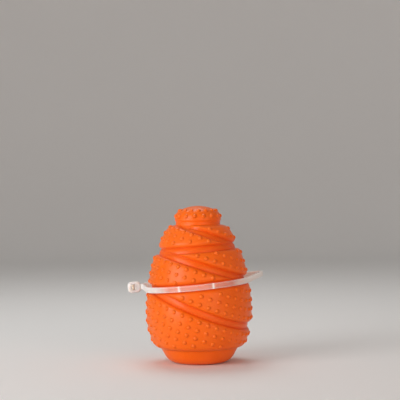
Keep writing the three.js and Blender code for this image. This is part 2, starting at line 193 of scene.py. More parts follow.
class ToyColours(PropertyGroup):
    """Colours of the toy and its studio"""

    rubber: colour("Rubber", "Main colour of the rubber", (0.88, 0.14, 0.003))
    # Painted shade: the darker orange laid into the grooves, deepest along the edges of their floors
    groove_shade_colour: colour("Deep rubber", "Colour in the grooves", (0.72, 0.06, 0.002))
    # Also painted highlight: the nub tops are paled towards this colour; the bloom is a random clouding of
    # the rubber itself
    rubber_pale: colour("Pale rubber", "Colour of the bloom and of rubbed nubs", (0.95, 0.17, 0.012))
    nylon: colour("Nylon", "Colour of the clear nylon", (0.92, 0.89, 0.84))
    nylon_white: colour("Whitened nylon", "Colour of the creases", (0.95, 0.93, 0.9))
    nylon_cut: colour("Cut nylon", "Colour of the strap's cut end", (0.95, 0.86, 0.68))
    backdrop: colour("Backdrop", "Colour of the floor and backdrop", (0.84, 0.84, 0.83))


class ChewToySettings(PropertyGroup):
    """All sizes and colours of the chew toy"""

    body: PointerProperty(name="Body", description="Sizes of the rubber body", type=BodySizes)
    grooves: PointerProperty(name="Grooves", description="Places and section of grooves", type=GrooveSizes)
    nubs: PointerProperty(name="Nubs", description="Sizes of the nubs and their rows", type=NubSizes)
    tie: PointerProperty(name="Tie", description="Sizes of the cable tie", type=TieSizes)
    colours: PointerProperty(name="Colours", description="Colours of the toy and its studio", type=ToyColours)


# Curves


def straight(start, end):
    """Points from one end of a line to the other: start plus a growing share of the difference."""
    share = np.linspace(0, 1, CURVE_POINTS)[:, None]
    return np.array(start) * (1 - share) + np.array(end) * share


def round_arc(centre, radii, start, end, count=CURVE_POINTS):
    """Points of an ellipse or circle: centre plus radii times cosine and sine of an angle."""
    angle = np.linspace(start, end, count)
    return np.array(centre) + np.array(radii) * np.stack([np.cos(angle), np.sin(angle)], axis=1)


def parabola(start, control, end):
    """Points of a parabola that leaves start towards control and reaches end coming from control."""
    share = np.linspace(0, 1, CURVE_POINTS)[:, None]
    first, middle, last = np.array(start), np.array(control), np.array(end)
    return first * (1 - share) ** 2 + middle * 2 * share * (1 - share) + last * share**2


def unit(vectors):
    """Vectors scaled to a length of one."""
    return vectors / np.linalg.norm(vectors, axis=-1, keepdims=True)


def full_turn(count):
    """Angles of a count of even steps round the axis."""
    return 2 * np.pi * np.arange(count) / count


def lengths_along(points):
    """Distance along a polyline: the running sum of the distances between its points."""
    steps = np.linalg.norm(np.diff(points, axis=0), axis=1)
    return np.hstack([[0], np.cumsum(steps)])


# Meshes


def ring_faces(rows, columns, rows_close=False):
    """Quads between the rows of a grid whose last column joins its first, as its last row may."""
    count = rows if rows_close else rows - 1
    row, column = np.meshgrid(np.arange(count), np.arange(columns), indexing="ij")
    here, above = row * columns, (row + 1) % rows * columns
    after = (column + 1) % columns
    quads = np.stack([here + column, here + after, above + after, above + column], axis=-1)
    return quads.reshape(-1, 4)


def closed_faces(rows, columns):
    """Faces of a grid that closes round, and of the fans to the two poles that follow its points."""
    column = np.arange(columns)
    after = (column + 1) % columns
    pole, top = rows * columns, (rows - 1) * columns
    opening = np.stack([np.full(columns, pole), after, column], axis=1)
    closing = np.stack([top + column, top + after, np.full(columns, pole + 1)], axis=1)
    return [ring_faces(rows, columns), np.vstack([opening, closing])]


def placed(name, data):
    """A new object of the scene, at the origin."""
    item = bpy.data.objects.new(name, data)
    bpy.context.scene.collection.objects.link(item)
    return item


def new_piece(name, points, faces, material, attributes=None):
    """A smooth mesh object, from points, arrays of faces and values for each point."""
    mesh = bpy.data.meshes.new(name)
    mesh.from_pydata(points.tolist(), [], [face for group in faces for face in group.tolist()])
    mesh.polygons.foreach_set("use_smooth", np.ones(len(mesh.polygons), dtype=bool))
    for label, values in (attributes or {}).items():
        mesh.attributes.new(label, "FLOAT", "POINT").data.foreach_set("value", values.astype(np.float32))
    mesh.materials.append(material)
    mesh.update()
    return placed(name, mesh)


# Shader parts


def add_node(tree, kind, **values):
    """A node of a kind with its own settings, to the right of those that are there."""
    node = tree.nodes.new(kind)
    node.location = (NODE_STEP * (len(tree.nodes) - NODE_ROOM), 0)
    for key, value in values.items():
        setattr(node, key, value)
    return node


def set_inputs(node, values):
    """Gives inputs of a node their values, by name."""
    for name, value in values.items():
        node.inputs[name].default_value = value


def moulded_grain():
    """Shared effect: clouds and a fine grain in the piece's own space, as a mask and a height."""
    name = "moulded_grain"
    if name in bpy.data.node_groups:
        return bpy.data.node_groups[name]
    group = bpy.data.node_groups.new(name, "ShaderNodeTree")
    group.interface.new_socket("Vector", in_out="INPUT", socket_type="NodeSocketVector")
    inputs = add_node(group, "NodeGroupInput")
    noises = []
    for label, detail, roughness in (("Cloud", 4, 0.6), ("Grain", 2, 0.5)):
        scale = label + " Scale"
        group.interface.new_socket(scale, in_out="INPUT", socket_type="NodeSocketFloat")
        group.interface.new_socket(label, in_out="OUTPUT", socket_type="NodeSocketFloat")
        noise = add_node(group, "ShaderNodeTexNoise")
        set_inputs(noise, {"Detail": detail, "Roughness": roughness})
        group.links.new(inputs.outputs["Vector"], noise.inputs["Vector"])
        group.links.new(inputs.outputs[scale], noise.inputs["Scale"])
        noises.append(noise)
    cloud, grain = noises
    spread = add_node(group, "ShaderNodeMapRange", interpolation_type="SMOOTHSTEP")
    outputs = add_node(group, "NodeGroupOutput")
    set_inputs(spread, {"From Min": 0.3, "From Max": 0.7})
    group.links.new(cloud.outputs["Fac"], spread.inputs["Value"])
    group.links.new(spread.outputs["Result"], outputs.inputs["Cloud"])
    group.links.new(grain.outputs["Fac"], outputs.inputs["Grain"])
    return group


def grain_of(tree, cloud_scale, grain_scale):
    """Cloud and grain of the shared effect, placed in a material on Object coordinates."""
    place = add_node(tree, "ShaderNodeTexCoord")
    grain = add_node(tree, "ShaderNodeGroup", node_tree=moulded_grain())
    set_inputs(grain, {"Cloud Scale": cloud_scale, "Grain Scale": grain_scale})
    tree.links.new(place.outputs["Object"], grain.inputs["Vector"])
    return grain.outputs["Cloud"], grain.outputs["Grain"]


def attribute(tree, name):
    """The values that a piece's points hold under a name."""
    return add_node(tree, "ShaderNodeAttribute", attribute_name=name).outputs["Fac"]


def share_of(tree, value, low, high):
    """A value from 0 to 1 turned into a value from low to high."""
    node = add_node(tree, "ShaderNodeMapRange")
    set_inputs(node, {"To Min": low, "To Max": high})
    tree.links.new(value, node.inputs["Value"])
    return node.outputs["Result"]


def tinted(tree, mask, base, tint):
    """A base colour that turns to the tint where the mask is 1."""
    node = add_node(tree, "ShaderNodeMix", data_type="RGBA")
    tree.links.new(mask, node.inputs["Factor"])
    colour_inputs = [socket for socket in node.inputs if socket.type == "RGBA"]
    for socket, value in zip(colour_inputs, (base, tint)):
        if isinstance(value, bpy.types.NodeSocket):
            tree.links.new(value, socket)
        else:
            socket.default_value = (*value, 1)
    return next(socket for socket in node.outputs if socket.type == "RGBA")


def raised(tree, shader, height, distance, strength):
    """A bump on the shader's normal, of the given height in metres."""
    bump = add_node(tree, "ShaderNodeBump")
    set_inputs(bump, {"Strength": strength, "Distance": distance})
    tree.links.new(height, bump.inputs["Height"])
    tree.links.new(bump.outputs["Normal"], shader.inputs["Normal"])


def new_material(name):
    """A node material with its tree and its Principled shader."""
    material = bpy.data.materials.new(name)
    material.use_nodes = True
    return material, material.node_tree, material.node_tree.nodes["Principled BSDF"]


def orange_rubber(colours):
    """Satin rubber: cloudy orange, with painted shade darkening the grooves and a painted highlight paling
    the nub tops.
    """
    material, tree, shader = new_material("orange_rubber")
    cloud, grain = grain_of(tree, cloud_scale=90, grain_scale=2600)
    bloom = share_of(tree, cloud, 0, 0.45)
    cloudy = tinted(tree, bloom, colours.rubber, colours.rubber_pale)
    # Painted highlight: each nub pales towards its top
    highlit = share_of(tree, attribute(tree, "nub"), 0, 0.55)
    nub_highlighted = tinted(tree, highlit, cloudy, colours.rubber_pale)
    # Painted shade: the grooves are darkened towards the shade colour, most along the edges of their floors
    groove_shade_mask = share_of(tree, attribute(tree, "groove"), 0, 0.6)
    tree.links.new(tinted(tree, groove_shade_mask, nub_highlighted, colours.groove_shade_colour), shader.inputs["Base Color"])
    tree.links.new(share_of(tree, cloud, 0.3, 0.44), shader.inputs["Roughness"])
    raised(tree, shader, grain, distance=0.05 * MM, strength=0.35)
    set_inputs(shader, {"IOR": 1.52, "Specular IOR Level": 0.24, "Subsurface Weight": 0.12})
    set_inputs(shader, {"Subsurface Radius": (1, 0.35, 0.1), "Subsurface Scale": 2 * MM})
    return material


def clear_nylon(colours):
    """Milky nylon: clear where it is thin, whitened at its creases and yellowed at its cut end."""
    name = "clear_nylon"
    if name in bpy.data.materials:
        return bpy.data.materials[name]
    material, tree, shader = new_material(name)
    cloud, grain = grain_of(tree, cloud_scale=400, grain_scale=3500)
    milky = tinted(tree, share_of(tree, cloud, 0, 0.35), colours.nylon, colours.nylon_white)
    yellowed = tinted(tree, attribute(tree, "cut"), milky, colours.nylon_cut)
    whitened = tinted(tree, attribute(tree, "crease"), yellowed, colours.nylon_white)
    tree.links.new(whitened, shader.inputs["Base Color"])
    tree.links.new(share_of(tree, cloud, 0.28, 0.42), shader.inputs["Roughness"])
    tree.links.new(share_of(tree, attribute(tree, "thin"), 0.95, 0.16), shader.inputs["Alpha"])
    raised(tree, shader, grain, distance=0.03 * MM, strength=0.3)
    set_inputs(shader, {"IOR": 1.53, "Subsurface Weight": 0.6})
    set_inputs(shader, {"Subsurface Radius": (1, 0.95, 0.85), "Subsurface Scale": 1.2 * MM})
    return material


# Rubber body


def egg_radius(body, height):
    """Radius of the egg at a height: the bulge's radius times the root of one less the squared share."""
    rise = np.where(height < body.bulge_height, body.lower_rise, body.upper_rise)
    share = (height - body.bulge_height) / rise
    return body.bulge_radius * np.sqrt(np.clip(1 - share**2, 0, 1))


def slant_plane(body, left, right, lean=0):
    """Plane from a height at the egg's left side to one at its right, that may lean to the front."""
    left_radius, right_radius = egg_radius(body, left), egg_radius(body, right)
    slope = (right - left) / (left_radius + right_radius)
    return Plane(slope, lean, left + slope * left_radius)


def plane_height(plane, x, y):
    """Height of a plane: its level plus its slope times x plus its lean times y."""
    return plane.level + plane.slope * x + plane.lean * y


def moved_plane(plane, distance):
    """The same plane moved by a distance along its upward normal."""
    return plane._replace(level=plane.level + distance * np.sqrt(1 + plane.slope**2 + plane.lean**2))


def groove_planes(body, grooves):
    """The five planes of the grooves, from the lowest to the highest."""
    return [
        slant_plane(body, grooves.left_lower, grooves.right_lower, grooves.lower_lean),
        slant_plane(body, grooves.left_waist, grooves.right_waist),
        slant_plane(body, grooves.left_upper, grooves.right_waist),
        slant_plane(body, grooves.left_upper, grooves.right_upper),
        slant_plane(body, grooves.left_top, grooves.right_upper),
    ]


def body_outline(body):
    """Half outline of the rubber, from the top of the hollow through the mouth and up to the cap's crown.

    The corners are eased: each point is a weighted mean of the outline for half a millimetre around it.
    """
    eased_length = 0.5 * MM
    middle = (0, body.bulge_height)
    top = body.neck_height + body.cap_height
    edge_radius = body.cap_radius - body.cap_round
    crown_radius = edge_radius + body.cap_round * np.sin(body.cap_fall)
    crown_rise = crown_radius * np.tan(body.cap_fall) / 2
    edge_height = top - crown_rise - body.cap_round * np.cos(body.cap_fall)
    hollow_radius = body.bulge_radius - body.wall
    hollow_rise = top - body.cap_solid - body.bulge_height
    hollow_drop = body.lower_rise - body.wall
    mouth_angle = -np.arccos(body.mouth_radius / hollow_radius)
    foot_middle = (body.rest_radius, body.foot_round)
    foot_edge = round_arc(foot_middle, body.foot_round, -np.pi / 2, -body.foot_draft)
    cap_edge = round_arc((edge_radius, edge_height), body.cap_round, 0, np.pi / 2 - body.cap_fall)
    draft_radius, draft_foot = foot_edge[-1]
    foot_radius = draft_radius + (body.foot_height - draft_foot) * np.tan(body.foot_draft)
    lobe_foot = body.foot_height + body.step_height
    shoulder = body.neck_height - body.shoulder_drop
    cap_foot = body.neck_height + body.neck_length
    flare_foot = cap_foot - (body.cap_radius - body.neck_radius)
    lower_angle = np.arcsin((lobe_foot - body.bulge_height) / body.lower_rise)
    upper_angle = np.arcsin((shoulder - body.bulge_height) / body.upper_rise)
    hollow_top = round_arc(middle, (hollow_radius, hollow_rise), np.pi / 2, 0)
    hollow_foot = round_arc(middle, (hollow_radius, hollow_drop), 0, mouth_angle)
    lower_lobes = round_arc(middle, (body.bulge_radius, body.lower_rise), lower_angle, 0)
    upper_lobes = round_arc(middle, (body.bulge_radius, body.upper_rise), 0, upper_angle)
    foot_corner = (foot_radius, body.foot_height)
    step_corner = (egg_radius(body, body.foot_height), body.foot_height)
    shoulder_corner = (egg_radius(body, body.neck_height), body.neck_height)
    neck_corner = (body.neck_radius, body.neck_height)
    round_shoulder = parabola(upper_lobes[-1], shoulder_corner, neck_corner)
    stretches = {"hollow": np.vstack([hollow_top, hollow_foot])}

    def go_straight(name, *end):
        """A straight stretch from the end of the last one to a radius and a height."""
        stretches[name] = straight(list(stretches.values())[-1][-1], end)

    go_straight("mouth", body.mouth_radius, body.mouth_chamfer)
    go_straight("chamfer", body.mouth_radius + body.mouth_chamfer, 0)
    go_straight("rim", body.rest_radius, 0)
    stretches["foot_edge"] = foot_edge
    go_straight("foot_side", *foot_corner)
    stretches["step"] = parabola(foot_corner, step_corner, lower_lobes[0])
    stretches["lobes"] = np.vstack([lower_lobes, upper_lobes, round_shoulder])
    go_straight("neck", body.neck_radius, flare_foot)
    go_straight("flare", body.cap_radius, cap_foot)
    go_straight("cap_side", body.cap_radius, edge_height)
    stretches["cap_edge"] = cap_edge
    stretches["crown"] = parabola(cap_edge[-1], (crown_radius / 2, top), (0, top))
    points = np.vstack(list(stretches.values()))
    along = lengths_along(points)
    ends = np.cumsum([len(stretch) for stretch in stretches.values()]) - 1
    even = np.arange(0, along[-1], OUTLINE_STEP)
    radius, height = (np.interp(even, along, points[:, axis]) for axis in range(2))
    reach = round(eased_length / OUTLINE_STEP)
    weights = np.hanning(2 * reach + 1)
    weights /= weights.sum()
    radius = np.convolve(np.pad(radius, reach, "reflect", reflect_type="odd"), weights, "valid")
    height = np.convolve(np.pad(height, reach, "reflect"), weights, "valid")
    slope_radius, slope_height = np.gradient(radius), np.gradient(height)
    size = np.hypot(slope_radius, slope_height)
    return SimpleNamespace(
        along=even, radius=radius, height=height, marks=dict(zip(stretches, along[ends])),
        out_radius=slope_height / size, out_height=-slope_radius / size,
    )


def outline_points(outline, along, angle):
    """Points and outward normals of the turned outline, at lengths along it and angles about the axis."""
    along, angle = np.broadcast_arrays(along, angle)
    cosine, sine = np.cos(angle), np.sin(angle)
    curves = (outline.radius, outline.height, outline.out_radius, outline.out_height)
    radius, height, out_radius, out_height = (np.interp(along, outline.along, curve) for curve in curves)
    points = np.stack([radius * cosine, radius * sine, height], axis=-1)
    normals = np.stack([out_radius * cosine, out_radius * sine, out_height], axis=-1)
    return points, unit(normals)


def reach_from(plane, points, normals):
    """Distance over the surface from a groove's middle: distance to its plane over the sine between them."""
    across = unit(np.array([-plane.slope, -plane.lean, 1]))
    distance = (points[..., 2] - plane_height(plane, points[..., 0], points[..., 1])) * across[2]
    least_squared_sine = 0.1
    return distance / np.sqrt(np.clip(1 - (normals @ across) ** 2, least_squared_sine, 1))


def groove_depth(grooves, planes, points, normals):
    """Depth of the grooves at points of the smooth body.

    Across one groove, the floor is a low parabola, and each lobe rounds down to it on most of a
    quarter-ellipse. Where grooves meet, their depths join as the sixth root of the sum of sixth powers.
    """
    half_floor, half_mouth = grooves.floor_width / 2, grooves.mouth_width / 2
    ellipse_share, power = 0.98, 6
    ellipse_fall = 1 - np.sqrt(1 - ellipse_share**2)
    total = np.zeros(points.shape[:-1])
    for plane in planes:
        reach = np.abs(reach_from(plane, points, normals))
        fall = np.clip((half_mouth - reach) / (half_mouth - half_floor), 0, 1)
        side = grooves.depth * (1 - np.sqrt(1 - (ellipse_share * fall) ** 2)) / ellipse_fall
        crown = grooves.floor_crown * np.clip(1 - (reach / half_floor) ** 2, 0, 1)
        total += ((side - crown) / grooves.depth) ** power
    return grooves.depth * total ** (1 / power)


def groove_shade_share(grooves, planes, points, normals, depth):
    """Share of painted shade in the grooves: the depth's share, halved away from the edges of a groove's
    floor.

    The halving follows a bell curve of the distance to the nearest of those edges.
    """
    bell_width = 0.45 * MM
    nearest = np.full(points.shape[:-1], grooves.mouth_width)
    for plane in planes:
        reach = np.abs(reach_from(plane, points, normals))
        nearest = np.minimum(nearest, np.abs(reach - grooves.floor_width / 2))
    edge = np.exp(-((nearest / bell_width) ** 2))
    return (0.5 + 0.5 * edge) * np.clip(depth / grooves.depth, 0, 1)


def groove_lengths(outline, plane, angle):
    """Length along the outline where a plane meets the body at each angle, and outline length per reach.

    The length is where the reach turns positive, on a straight line between the two samples there. Where
    a plane passes over the lobes, it is that of their upper edge.
    """
    edge_room = 0.6 * MM
    along = np.linspace(outline.marks["step"], outline.marks["lobes"] - edge_room, PLANE_SAMPLES)[:, None]
    points, normals = outline_points(outline, along, angle[None, :])
    reach = reach_from(plane, points, normals)
    above = reach > 0
    first = np.where(above.any(axis=0), np.maximum(np.argmax(above, axis=0), 1), PLANE_SAMPLES - 1)
    column = np.arange(len(angle))
    before, after = reach[first - 1, column], reach[first, column]
    share = np.clip(-before / (after - before), 0, 1)
    step = along[1, 0] - along[0, 0]
    return along[first - 1, 0] + share * step, step / (after - before)


def band_rows(low, high, low_steps, high_steps):
    """Rows of one band: close together beside the two grooves that bound it, even between them."""
    side_share = 0.45
    most = side_share * (high - low)
    lower = low + low_steps * np.minimum(1, most / low_steps[-1])
    upper = high - high_steps * np.minimum(1, most / high_steps[-1])
    share = np.linspace(0, 1, MIDDLE_ROWS + 2)[1:-1, None]
    between = lower[-1] * (1 - share) + upper[-1] * share
    return np.vstack([lower, between, upper[::-1][:-1]])


def even_rows(marks, counts, start):
    """Lengths of a count of even rows for each of some stretches that follow each other."""
    rows = []
    for name, count in counts.items():
        rows.append(np.linspace(start, marks[name], count, endpoint=False))
        start = marks[name]
    return np.hstack(rows)[:, None]


def body_rows(outline, planes, grooves, angle):
    """Lengths along the outline for each row and angle: rows of the lobes follow the grooves."""
    marks, even = outline.marks, np.ones(len(angle))
    half_floor, half_mouth = grooves.floor_width / 2, grooves.mouth_width / 2
    floor_shares = np.array([0, 0.45, 0.75, 0.92, 1])
    side_shares = np.array([0.04, 0.1, 0.19, 0.31, 0.47, 0.7, 1])
    sides = half_floor + (half_mouth - half_floor) * side_shares
    groove_steps = np.hstack([half_floor * floor_shares, sides])[:, None]
    end_steps = np.array([0, 0.3, 0.7, 1.2, 1.8])[:, None] * MM * even
    least_band, most_stretch, pole_room = 0.12 * MM, 2, 1.2 * MM
    found = np.array([groove_lengths(outline, plane, angle) for plane in planes])
    found = np.take_along_axis(found, np.argsort(found[:, :1], axis=0), axis=0)
    edges, steps = [marks["step"] * even], [end_steps]
    for along, stretch in found:
        edges.append(np.maximum(along, edges[-1] + least_band))
        steps.append(groove_steps * np.clip(stretch, 1, most_stretch))
    edges.append(np.maximum(marks["lobes"], edges[-1] + least_band))
    steps.append(end_steps)
    bands = [band_rows(*band) for band in zip(edges, edges[1:], steps, steps[1:])]
    lower_counts = dict(hollow=22, mouth=5, chamfer=5, rim=5, foot_edge=10, foot_side=5, step=10)
    upper_counts = dict(neck=6, flare=3, cap_side=6, cap_edge=12, crown=8)
    lower = even_rows(marks, lower_counts, pole_room)
    upper = even_rows(marks, upper_counts, marks["lobes"])
    return np.vstack([lower * even, *bands, upper * even])


def seats_in_row(body, plane, spacing, start):
    """Points evenly spaced along the curve where a plane meets the egg, one of them at start from the front.

    The curve's height at an angle is settled by turns: the egg's radius there, then the plane's height.
    """
    angle = np.linspace(-1.5 * np.pi, 0.5 * np.pi, ROW_SAMPLES + 1)
    height = np.full(len(angle), plane.level)
    for _ in range(SETTLING_TURNS):
        radius = egg_radius(body, height)
        height = plane_height(plane, radius * np.cos(angle), radius * np.sin(angle))
    radius = egg_radius(body, height)
    curve = np.stack([radius * np.cos(angle), radius * np.sin(angle), height], axis=1)
    along = lengths_along(curve)
    count = round(along[-1] / spacing)
    front = along[ROW_SAMPLES // 2]
    wanted = np.mod(front + start + np.arange(count) * along[-1] / count, along[-1])
    return np.stack([np.interp(wanted, along, curve[:, axis]) for axis in range(3)], axis=1)


def lobe_seats(body, grooves, nubs, outline):
    """Seats and normals of the nubs on the lobes: rows beside each slanting groove, up to the next ring.

    Rows are counted from the groove over the surface: the distance between their planes is the row pitch
    times the cosine of the egg's slant at the groove. A band has its groove, its side of it, the plane that
    ends it and the height kept clear there, its first row's margin and that row's start from the front.
    """
    lower_slant, waist_ring, middle_slant, upper_ring, upper_slant = groove_planes(body, grooves)
    neck, foot = Plane(0, 0, body.neck_height), Plane(0, 0, body.foot_height)
    ring_clear, first = nubs.ring_margin, nubs.margin
    bands = (
        (upper_slant, 1, neck, nubs.neck_margin, nubs.top_margin, 0.8 * MM),
        (upper_slant, -1, upper_ring, ring_clear, first, 0),
        (middle_slant, 1, upper_ring, ring_clear, first, 3.1 * MM),
        (middle_slant, -1, waist_ring, ring_clear, first, 1.7 * MM),
        (lower_slant, 1, waist_ring, ring_clear, first, 3.9 * MM),
        (lower_slant, -1, foot, nubs.foot_margin, first, 3.5 * MM),
    )
    lobes = (outline.along > outline.marks["step"]) & (outline.along < outline.marks["lobes"])
    heights, lengths = outline.height[lobes], outline.along[lobes]
    seats = []
    for groove, side, limit, clear, margin, start in bands:
        steep = np.interp(groove.level, heights, outline.out_radius[lobes])
        row, free = 0, True
        while free:
            plane = moved_plane(groove, side * steep * (margin + row * nubs.row_pitch))
            found = seats_in_row(body, plane, nubs.spacing, start + side * row * nubs.row_shift)
            found = found[side * (plane_height(limit, found[:, 0], found[:, 1]) - found[:, 2]) > clear]
            seats.append(found)
            row, free = row + 1, len(found) > 0
    points = np.vstack(seats)
    angle = np.arctan2(points[:, 1], points[:, 0])
    return outline_points(outline, np.interp(points[:, 2], heights, lengths), angle)


def cap_seats(body, nubs, outline):
    """Seats and normals of the nubs on the cap: two rings on its round edge, spaced from the front.

    The lower ring leaves the front free, and the upper one has a nub there.
    """
    count = round(2 * np.pi * body.cap_radius / nubs.spacing)
    lifts, starts = np.radians([15, 61]), np.array([0.5, 0])
    along = np.repeat(outline.marks["cap_side"] + body.cap_round * lifts, count)
    angle = 2 * np.pi * (starts[:, None] + np.arange(count)).ravel() / count - np.pi / 2
    return outline_points(outline, along, angle)


def nub_meshes(seats, normals, nubs, start):
    """Domes on all seats at once: rings about each normal, with a soft skirt and a root under the rubber.

    A ring's radius and height are shares of the nub's own; a pole closes the root and another the top.
    """
    reach, rise = NUB_PROFILE.T
    rings, count = len(NUB_PROFILE), len(seats)
    nearly_up = 0.9
    helper = np.where(np.abs(normals[:, 2:]) < nearly_up, [[0, 0, 1]], [[1, 0, 0]])
    right = unit(np.cross(helper, normals))
    up = np.cross(normals, right)
    angle = full_turn(NUB_SIDES)
    around = right[:, None] * np.cos(angle)[:, None] + up[:, None] * np.sin(angle)[:, None]
    points = (
        seats[:, None, None]
        + around[:, None] * (reach * nubs.radius)[:, None, None]
        + normals[:, None, None] * (rise * nubs.height)[:, None, None]
    ).reshape(count, -1, 3)
    poles = np.stack([seats - normals * nubs.height / 2, seats + normals * nubs.height], axis=1)
    everything = np.concatenate([points, poles], axis=1)
    offsets = start + everything.shape[1] * np.arange(count)[:, None, None]
    faces = [(group[None] + offsets).reshape(-1, group.shape[1]) for group in closed_faces(rings, NUB_SIDES)]
    # Painted highlight: how far up its nub a point lies, which pales the rubber there
    raise_share = np.hstack([np.repeat(np.clip(rise, 0, 1), NUB_SIDES), [0, 1]])
    return everything.reshape(-1, 3), faces, np.tile(raise_share, count)


def build_rubber_body(settings):
    """The body: its outline turned about the axis and lowered along its normals by the grooves, with nubs."""
    body, grooves, nubs = settings.body, settings.grooves, settings.nubs
    shoulder_ease = 1.2 * MM
    planes = groove_planes(body, grooves)
    outline = body_outline(body)
    angle = full_turn(COLUMNS)
    along = body_rows(outline, planes, grooves, angle)
    points, normals = outline_points(outline, along, angle[None, :])
    outside = (along > outline.marks["step"]) & (along < outline.marks["lobes"])
    depth = np.where(outside, groove_depth(grooves, planes, points, normals), 0)
    depth *= np.clip((outline.marks["lobes"] - along) / shoulder_ease, 0, 1)
    # Painted shade for the grooves, kept in the groove attribute
    creases = groove_shade_share(grooves, planes, points, normals, depth)
    grid = (points - normals * depth[..., None]).reshape(-1, 3)
    poles = [(0, 0, outline.height[0]), (0, 0, outline.height[-1])]
    surface = np.vstack([grid, poles])
    seats, outs = lobe_seats(body, grooves, nubs, outline)
    seats = seats - outs * groove_depth(grooves, planes, seats, outs)[:, None]
    cap_points, cap_outs = cap_seats(body, nubs, outline)
    nub_points, nub_faces, nub_share = nub_meshes(
        np.vstack([seats, cap_points]), np.vstack([outs, cap_outs]), nubs, len(surface)
    )
    piece = new_piece(
        "nubbed_rubber_body",
        np.vstack([surface, nub_points]),
        closed_faces(len(along), COLUMNS) + nub_faces,
        orange_rubber(settings.colours),
        {
            # painted shade of the grooves
            "groove": np.hstack([creases.ravel(), np.zeros(len(poles) + len(nub_points))]),
            # painted highlight on the nub tops
            "nub": np.hstack([np.zeros(len(surface)), nub_share]),
        },
    )
    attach(piece, "toy")
    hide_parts("rubber_body")


# Cable tie, laid out flat in the plane of the waist groove: u to the right, v to the back, w up


def tie_layout(settings):
    """Places of the tie's faces in its own plane, and the plane's level and tilt."""
    body, tie = settings.body, settings.tie
    waist = groove_planes(body, settings.grooves)[1]
    tilt = np.arctan(waist.slope)
    level = waist.level - tie.drop
    ends = np.array([-1, 1]) * body.bulge_radius * np.cos(tilt)
    resting = egg_radius(body, level + ends * waist.slope - tie.width / 2) + tie.gap + tie.thickness / 2
    seat_radius = resting.mean()
    tail_u = -tie.reach_left + tie.head_wall + tie.gap + tie.thickness / 2
    slot_right = tail_u + tie.thickness / 2 + tie.gap + tie.pawl_thickness + tie.pawl_room
    slot_half = tie.width / 2 + tie.gap
    head_back = seat_radius - tie.thickness / 2 - tie.gap
    return SimpleNamespace(
        tilt=tilt, level=level, seat_u=(resting[1] - resting[0]) / 2, seat_radius=seat_radius, tail_u=tail_u,
        slot_left=-tie.reach_left + tie.head_wall, slot_right=slot_right, slot_half=slot_half,
        head_left=-tie.reach_left, head_right=slot_right + tie.head_wall, head_half=slot_half + tie.head_side,
        head_back=head_back, head_front=head_back - tie.head_depth,
    )


def in_toy_space(layout, flat):
    """Points of the tie's plane turned by its tilt about Y and lifted to its level."""
    cosine, sine = np.cos(layout.tilt), np.sin(layout.tilt)
    u, v, w = flat[..., 0], flat[..., 1], flat[..., 2]
    return np.stack([u * cosine - w * sine, v, layout.level + u * sine + w * cosine], axis=-1)


def bend_points(before, corner, after, radius):
    """Points of the arc of a radius that touches both sides of a corner."""
    arriving, leaving = unit(corner - before), unit(after - corner)
    turn = np.arctan2(arriving[0] * leaving[1] - arriving[1] * leaving[0], arriving @ leaving)
    inward = np.array([-arriving[1], arriving[0]]) * np.sign(turn) * radius
    centre = corner - arriving * radius * np.tan(abs(turn) / 2) + inward
    start = np.arctan2(-inward[1], -inward[0])
    return round_arc(centre, radius, start, start + turn, BEND_POINTS)


def strap_line(layout, tie):
    """Middle line of the strap, and the lengths where its toothed back and tail begin and end.

    It bends out of the head onto a tangent of an arc over the toy's front, leaves that arc on another
    tangent, bends back at the right and runs straight across the back to the bend before its tail.
    """
    root_v = layout.head_front + tie.root_setback + tie.thickness / 2
    root = np.array([layout.head_right - tie.head_wall / 2, root_v])
    root_corner = np.array([layout.head_right + tie.root_length, root_v])
    right_corner = np.array([tie.reach_right, layout.seat_radius])
    tail_corner = np.array([layout.tail_u, layout.seat_radius])
    tail_end = np.array([layout.tail_u, layout.head_front - tie.tail_proud])
    centre = np.array([layout.seat_u, 0])
    angles = []
    for corner, side in ((root_corner, 1), (right_corner, -1)):
        away = corner - centre
        touch = np.arccos(layout.seat_radius / np.linalg.norm(away))
        angles.append(np.arctan2(away[1], away[0]) + side * touch)
    seat = round_arc(centre, layout.seat_radius, angles[0], angles[1] + 2 * np.pi)
    root_bend = bend_points(root, root_corner, seat[0], tie.root_bend)
    right_bend = bend_points(seat[-1], right_corner, tail_corner, tie.bend)
    tail_bend = bend_points(right_corner, tail_corner, tail_end, tie.tail_bend)
    front = np.vstack([[root], root_bend, seat, right_bend])
    points = np.vstack([front, tail_bend, [tail_end]])
    along = lengths_along(points)
    back, tail = along[len(front) - 1 : len(front) + 1], along[-2:]
    return points, along, (back, tail)


def strap_lengths(along, toothed, pitch):
    """Lengths at which the strap has a section: every bend point, and four for each tooth."""
    phases = np.array([0, TOOTH_MIDDLE, TOOTH_FOOT, TOOTH_BACK])
    wanted = [along]
    for start, end in toothed:
        count = int((end - start) / pitch)
        wanted.append((start + pitch * (np.arange(count)[:, None] + phases)).ravel())
    digits = 7
    return np.unique(np.round(np.hstack(wanted), digits))


def tooth_share(wanted, toothed, pitch):
    """Share of the teeth's depth at lengths along the strap: a saw wave, with a flat foot."""
    share, nudge = np.zeros(len(wanted)), 1e-4
    for start, end in toothed:
        phase = np.mod((wanted - start) / pitch + nudge, 1)
        saw = np.interp(phase, [0, TOOTH_FOOT, TOOTH_BACK, 1], [1, 0, 0, 1])
        share = np.where((wanted > start) & (wanted < end), saw, share)
    return share


def whitening(line):
    """Whiteness along the strap's front: a bell curve about each of its two creases."""
    bell_width = 0.55 * MM
    left_crease, right_crease = (-11.9 * MM, 0.6), (6.4 * MM, 1)
    share = np.zeros(len(line))
    for place, strength in (left_crease, right_crease):
        share += strength * np.exp(-(((line[:, 0] - place) / bell_width) ** 2)) * (line[:, 1] < 0)
    return share


